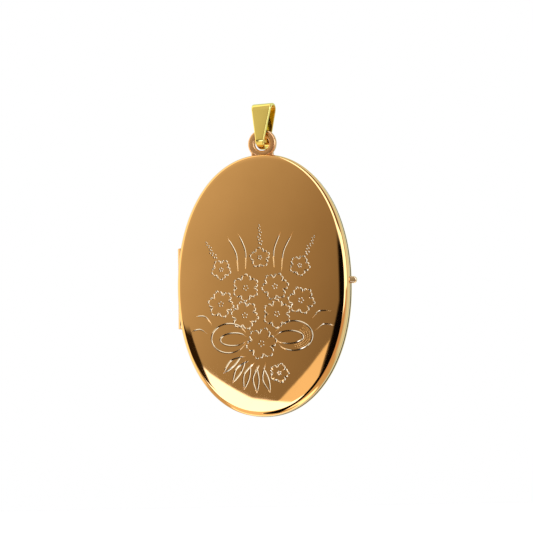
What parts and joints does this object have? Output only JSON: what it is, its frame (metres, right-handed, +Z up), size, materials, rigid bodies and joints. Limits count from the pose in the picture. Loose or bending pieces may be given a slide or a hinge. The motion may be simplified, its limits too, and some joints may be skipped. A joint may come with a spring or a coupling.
{
  "type": "oval locket pendant",
  "caption": "Oval engraved locket pendant with a side-hinged front cover, snap rim, photograph frames and windows inside, a soldered hanger ring and a tapered strap bail.",
  "frame": {"origin": "in the bail's eye, where a chain passes", "axes": "+Z up along the pendant's length, the engraved face towards -Y, the back towards +Y, the thumb tab towards +X and the hinge towards -X"},
  "size_m": [0.028, 0.0046, 0.0483],
  "materials": {
    "rose_gold_cover": "polished 14 carat rose gold, engraved on the front",
    "rose_gold_rim": "polished rose gold, satin inside",
    "rose_gold_hinge": "polished rose gold tube and wire",
    "rose_gold_ring": "hand-finished rose gold with a soft surface",
    "yellow_gold_bail": "polished yellow gold strap",
    "clear_acetate": "thin clear acetate window",
    "blank_card": "blank card where a picture goes"
  },
  "bodies": {
    "bail": {"bail": "yellow_gold_bail"},
    "rear_half": {"hanger_ring": "rose_gold_ring", "rear_cover": "rose_gold_cover", "rear_rim": "rose_gold_rim", "rear_photo_frame": "rose_gold_rim", "rear_window": "clear_acetate", "rear_card": "blank_card", "hinge_knuckle_1_rear": "rose_gold_hinge", "hinge_knuckle_3_rear": "rose_gold_hinge", "hinge_knuckle_5_rear": "rose_gold_hinge", "hinge_pin": "rose_gold_hinge"},
    "front_half": {"front_cover": "rose_gold_cover", "front_rim": "rose_gold_rim", "front_photo_frame": "rose_gold_rim", "front_window": "clear_acetate", "front_card": "blank_card", "hinge_knuckle_2_front": "rose_gold_hinge", "hinge_knuckle_4_front": "rose_gold_hinge", "thumb_tab": "rose_gold_cover"}
  },
  "joints": [
    {"name": "bail_swing", "type": "hinge", "parent": "bail", "child": "rear_half", "pos_m": [0, 0, -0.0032], "axis": [1, 0, 0], "range_deg": [-45, 45]},
    {"name": "cover_open", "type": "hinge", "parent": "rear_half", "child": "front_half", "pos_m": [-0.01299, -0.00042, -0.0266], "axis": [0, 0, -1], "range_deg": [0, 115]}
  ]
}
